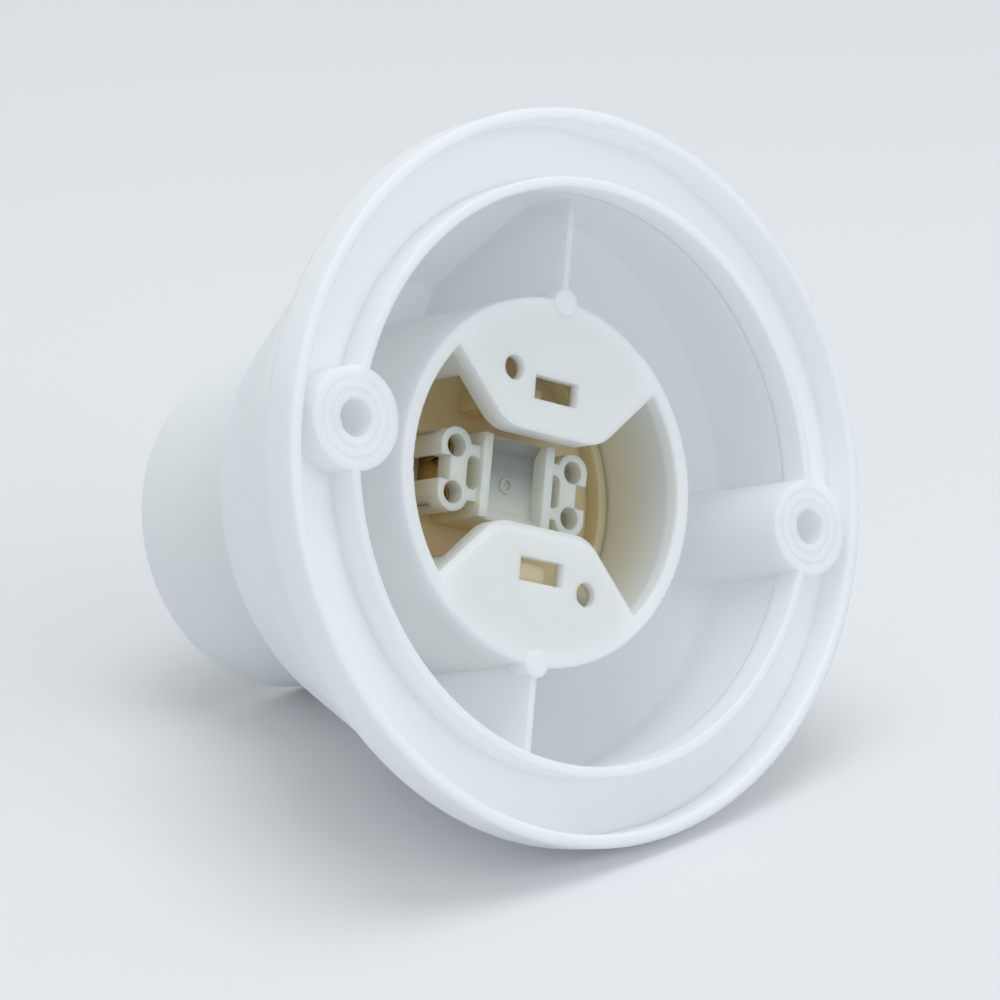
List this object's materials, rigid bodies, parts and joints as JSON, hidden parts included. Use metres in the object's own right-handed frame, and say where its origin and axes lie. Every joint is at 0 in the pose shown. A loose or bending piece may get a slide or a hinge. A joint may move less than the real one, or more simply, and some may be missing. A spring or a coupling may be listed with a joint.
{
  "type": "lamp holder",
  "caption": "White round-base E27 lamp holder with bell, barrel, hollow back with screw bosses, and an ivory push-in terminal insert.",
  "frame": {"origin": "centre of the line between the two fixing screws, in the mounting plane of the base", "axes": "+Y from the wall towards the lamp, +X along the line of the fixing screws, +Z towards the cable entry"},
  "size_m": [0.088, 0.0643, 0.088],
  "materials": {
    "white_thermoplastic": "satin moulded",
    "ivory_thermoplastic": "satin moulded",
    "brass": "stamped strip",
    "contact_bronze": "rolled spring strip",
    "spring_steel": "rolled spring strip"
  },
  "bodies": {
    "root": {"housing": "white_thermoplastic", "insert_body": "ivory_thermoplastic", "thread_sleeve": "ivory_thermoplastic", "terminal_bar_left": "brass", "terminal_bar_right": "brass", "centre_contact": "contact_bronze", "side_contact": "contact_bronze", "clamp_spring_left_upper": "spring_steel", "clamp_spring_left_lower": "spring_steel", "clamp_spring_right_upper": "spring_steel", "clamp_spring_right_lower": "spring_steel"}
  },
  "joints": []
}
